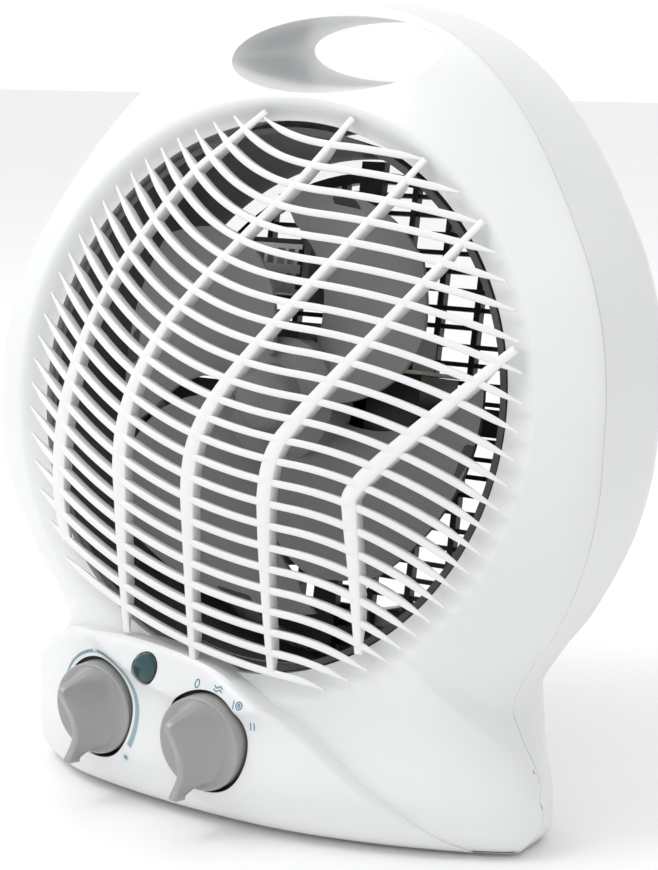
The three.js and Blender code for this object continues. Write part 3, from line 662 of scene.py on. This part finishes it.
# ---- rear grille, duct and fan ----
def make_rear_grille():
    skin = Skin()
    y0, y1 = BACK_DEPTH - 4.5, BACK_DEPTH - 0.6
    radius = INLET_RADIUS - 0.8
    profile = [(radius - 3.5, y0), (radius, y0), (radius, y1), (radius - 3.5, y1), (radius - 3.5, y0)]
    rings = lathe(profile)
    skin.grid(in_disc(rings[..., 0], rings[..., 1], rings[..., 2]), wrap=True)
    for x in np.arange(-70, 71, 14.0):
        high = math.sqrt((radius - 2) ** 2 - x * x)
        rings = box_rings((2.2, y1 - y0 - 0.8, 2 * high), (x, (y0 + y1) / 2, 0))
        skin.solid(in_disc(rings[..., 0], rings[..., 1], rings[..., 2]))
    for w in np.arange(-72, 73, 6.0):
        wide = math.sqrt((radius - 2) ** 2 - w * w)
        rings = box_rings((2 * wide, y1 - y0 - 1.4, 1.5), (0, (y0 + y1) / 2 + 0.4, w))
        skin.solid(in_disc(rings[..., 0], rings[..., 1], rings[..., 2]))
    # The black on this lattice is painted shade: it sits in shadow inside the housing.
    return to_object("rear_grille_fine", skin, BLACK_AND_SHADE, replaces=("rear_grille",))


def make_duct():
    y0, y1 = 4.0, BACK_DEPTH - 7.2
    inner, outer = DUCT_RADIUS, DUCT_RADIUS + 2
    rings = lathe([(inner, y0), (outer, y0), (outer, y1), (inner, y1), (inner, y0)], sides=160)
    skin = Skin().grid(in_disc(rings[..., 0], rings[..., 1], rings[..., 2]), wrap=True)
    # The duct's near-black colour is painted shade for the shadowed inside of the housing.
    return to_object("air_duct_fine", skin, DUCT, replaces=("air_duct",))


def blade(turn):
    stations = []
    for share in np.linspace(0, 1, 22):
        radius = mix(14.0, FAN_RADIUS, share)
        sweep = 0.62 * share * share
        half_span = 0.64 + 0.02 * share
        t = np.linspace(-0.5, 0.5, 26)
        corner = 1 - 0.20 * max(share - 0.8, 0) / 0.2
        angle = turn + sweep + t * 2 * half_span * corner
        depth = 15 + 16 * t + 2.5 * np.cos(math.pi * t) * share
        front = np.stack([radius * np.cos(angle), depth, radius * np.sin(angle)], -1)
        stations.append(np.concatenate([front, (front + [0, 1.6, 0])[::-1]]))
    return np.array(stations)


HUB_PROFILE = [
    (0.05, 0.6), (5, 0.7), (8.2, 1.2), (9.8, 2.4), (10.6, 4.5), (11.4, 8), (15, 10.5), (19.2, 12.2),
    (20, 13), (20, 25), (17.5, 25), (17.5, 15), (2.4, 13),
]


def make_fan():
    skin = Skin()
    rings = lathe(HUB_PROFILE)
    skin.grid(in_disc(rings[..., 0], rings[..., 1], rings[..., 2]), wrap=True)
    for i in range(4):
        rings = blade((i + 0.42) * math.pi / 2)
        skin.solid(in_disc(rings[..., 0], rings[..., 1], rings[..., 2]))
    swaps = ("fan_impeller",)
    return to_object("fan_impeller_fine", skin, FAN, body="fan", replaces=swaps, sharp=35)


# ---- printed marks on the panel ----
ARC_FROM, ARC_TO, ARC_RADIUS = -82, 120, 17.5


def ribbon(points, width, lift=0.08):
    """A thin printed line on the panel, through points in (x, z)."""
    p = np.asarray(points, float)
    ahead = np.gradient(p, axis=0)
    ahead /= np.maximum(np.linalg.norm(ahead, axis=1, keepdims=True), 1e-9)
    side = np.stack([-ahead[:, 1], ahead[:, 0]], -1) * width / 2
    rows = []
    for q in (p - side, p + side):
        rows.append(np.stack([q[:, 0], panel_y(q[:, 0], q[:, 1]) - lift, q[:, 1]], -1))
    return np.array(rows)


def round_knob(centre, degrees, radius):
    """A place on the panel at a clock angle round a knob."""
    angle = math.radians(degrees)
    return centre[0] + radius * math.sin(angle), centre[2] + radius * math.cos(angle)


def make_marks():
    t = np.linspace(0, 2 * math.pi, 33)
    ring = lambda across, up, dx=0.0: np.stack([dx + across * np.sin(t), up * np.cos(t)], -1)
    stroke = lambda dx: np.array([(dx, -1.25), (dx, 0), (dx, 1.25)])
    wave_x = np.linspace(-1.7, 1.7, 25)
    waves = [np.stack([wave_x, 0.28 * np.sin(wave_x * 2.8) + dz], -1) for dz in (-0.5, 0.5)]
    marks = [
        (-12, 18.1, [ring(0.75, 1.2)]),
        (14, 17.9, waves),
        (40, 18.2, [stroke(-0.6), ring(1.1, 1.1, 1.5), ring(0.4, 0.4, 1.5)]),
        (66, 19.2, [stroke(-0.6), stroke(0.6)]),
    ]
    skin = Skin()
    for degrees, radius, lines in marks:
        for line in lines:
            skin.grid(ribbon(line + round_knob(SELECTOR, degrees, radius), 0.36))
    for degrees in np.arange(ARC_FROM, ARC_TO, 2.0):
        share = (degrees - ARC_FROM) / (ARC_TO - ARC_FROM)
        reach = ARC_RADIUS + mix(0.7, 2.0, share) * np.array([0, 0.5, 1])
        skin.grid(ribbon([round_knob(THERMOSTAT, degrees, r) for r in reach], mix(0.4, 0.34, share)))
    fx, fz = round_knob(THERMOSTAT, 132, 19.6)
    for a in np.radians((0, 60, 120)):
        skin.grid(ribbon([(fx + s * math.sin(a), fz + s * math.cos(a)) for s in (-1.2, 0, 1.2)], 0.28))
    return to_object("dial_marks", skin, MARK, weld=1e-9)


# ---- build everything ----
def make_recess(centre, name):
    """The wall and floor of a knob's well, starting just under the panel's surface, painted near-black as
    shade in the gap round the knob.
    """
    radius = KNOB_RADIUS + RECESS_GAP - 0.03
    a = np.linspace(0, 2 * math.pi, 96, endpoint=False)
    x, z = centre[0] + radius * np.cos(a), centre[2] + radius * np.sin(a)
    floor = centre[1] + KNOB_DEPTH + 0.8
    edge = np.stack([x, np.minimum(panel_y(x, z) + 0.5, floor), z], -1)
    foot = np.stack([x, np.full_like(x, floor), z], -1)
    middle = np.full_like(foot, (centre[0], floor, centre[2]))
    skin = Skin().grid(np.array([edge, foot, mix(foot, middle, 0.99)]), wrap=True)
    to_object(f"{name}_recess", skin, SHADE_DARK)


def make_lens():
    y = float(panel_y(np.array(LENS[0]), np.array(LENS[1])))
    r = LENS_RADIUS
    face = [(0.05, y - 0.9), (r * 0.5, y - 0.75), (r * 0.85, y - 0.1)]
    profile = [*face, (r * 0.98, y + 0.8), (r, y + 3), (r, y + 10)]
    skin = Skin().grid(lathe(profile, *LENS), wrap=True)
    to_object("indicator_lens_fine", skin, LENS_TEAL, replaces=("indicator_lens",))


def build():
    skin, front_ring = make_front_shell()
    to_object("front_shell_fine", skin, WHITE, replaces=("front_shell",), sharp=38)
    skin, rear_ring, edge = make_rear_shell()
    to_object("rear_shell_fine", skin, WHITE, replaces=("rear_shell",), sharp=38)
    to_object("handle_slot", make_slot_tube(front_ring, rear_ring), WHITE)
    # The near-black strip in the joint is painted shade for the shadowed seam line.
    to_object("seam_shade_strip", make_seam_shade_strip(edge), SHADE_DARK)
    panel = to_object("control_panel", make_panel(), WHITE, sharp=34)
    radius = KNOB_RADIUS + RECESS_GAP
    wells = [cutter(radius, y - 30, y + 9, x, z) for x, y, z in (THERMOSTAT, SELECTOR)]
    wells.append(cutter(LENS_RADIUS + 0.2, -60, -12, *LENS))
    boolean_cut(panel, wells)
    for centre, name in ((THERMOSTAT, "thermostat"), (SELECTOR, "selector")):
        make_knob(centre, name, f"{name}_dial")
        make_recess(centre, name)
    make_lens()
    make_front_grille()
    make_rear_grille()
    make_duct()
    make_fan()
    make_marks()


NODE_LOOKS = {
    **dict.fromkeys(("motor_mount", "thermostat_body", "selector_body", "thermal_cutout"), BLACK_AND_SHADE),
    **dict.fromkeys(("base_plate", "cable_gland"), BLACK_AND_SHADE),
    **dict.fromkeys(("fan_clip", "motor_shaft", "motor_front_bracket", "motor_rear_bracket"), STEEL),
    **dict.fromkeys(("motor_screw_1", "motor_screw_2", "thermostat_shaft", "selector_shaft"), STEEL),
    **{f"shell_screw_{i}": STEEL for i in range(1, 5)},
    **dict.fromkeys(("motor_stator", "motor_rotor"), LAMINATION),
    "motor_coil": TAPE,
    **dict.fromkeys(("front_bush", "rear_bush"), BRONZE),
    **dict.fromkeys(("motor_bobbin", "cord_clamp", "terminal_block", "thermal_fuse"), CREAM),
    **dict.fromkeys(("heating_bank_upper", "heating_bank_lower", "rating_plate"), FINS),
    **dict.fromkeys(("bank_holder_upper", "bank_holder_lower"), FRAME_GREY),
    "indicator_lamp": LAMP,
    **{f"rubber_foot_{i}": RUBBER for i in range(1, 5)},
}


def dress_nodes():
    for name, material in NODE_LOOKS.items():
        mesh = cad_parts[name].data
        mesh.materials.clear()
        mesh.materials.append(material)


# ---- studio and camera ----
def studio():
    bpy.ops.mesh.primitive_plane_add(size=12)
    floor = bpy.context.object
    floor.name = "studio_floor"
    paper = surface("paper_floor", (0.93, 0.93, 0.932), 0.7, vary=0.01, grain=0.1, grain_size=300)
    floor.data.materials.append(paper)
    world = bpy.data.worlds.new("studio_world")
    bpy.context.scene.world = world
    bpy.context.scene.view_settings.view_transform = "Standard"
    world.use_nodes = True
    back = world.node_tree.nodes["Background"]
    back.inputs["Color"].default_value = (1.0, 1.0, 1.0, 1)
    links = world.node_tree.links
    place = world.node_tree.nodes.new("ShaderNodeTexCoord")
    split = world.node_tree.nodes.new("ShaderNodeSeparateXYZ")
    glow = world.node_tree.nodes.new("ShaderNodeMapRange")
    glow.interpolation_type = "SMOOTHSTEP"
    for socket, value in (("From Min", 0.9), ("From Max", -0.3), ("To Min", 0.76), ("To Max", 1.02)):
        glow.inputs[socket].default_value = value
    links.new(place.outputs["Generated"], split.inputs["Vector"])
    links.new(split.outputs["X"], glow.inputs["Value"])
    links.new(glow.outputs["Result"], back.inputs["Strength"])
    lights = [
        ("key", (-0.7, -0.8, 1.6), 0.7, 9.0),
        ("top", (-0.1, 0.2, 1.6), 0.7, 2.5),
    ]
    for name, place, size, power in lights:
        data = bpy.data.lights.new(name, "AREA")
        data.size = size
        data.energy = power
        lamp = bpy.data.objects.new(name, data)
        bpy.context.scene.collection.objects.link(lamp)
        lamp.location = place
        aim = Vector((0, 0, 0.12)) - Vector(place)
        lamp.rotation_euler = aim.to_track_quat("-Z", "Y").to_euler()


FOCAL_PIXELS, IMAGE_WIDTH = 2057, 658


def camera():
    data = bpy.data.cameras.new("camera")
    data.sensor_fit = "HORIZONTAL"
    data.sensor_width = 36
    data.lens = FOCAL_PIXELS / IMAGE_WIDTH * data.sensor_width
    cam = bpy.data.objects.new("camera", data)
    bpy.context.scene.collection.objects.link(cam)
    cam.location = (0.3609, -0.5164 - CENTRE_Y / 1000, 0.2464)
    cam.rotation_euler = (math.radians(78.83), 0, math.radians(32.89))
    bpy.context.scene.camera = cam


build()
dress_nodes()
studio()
camera()
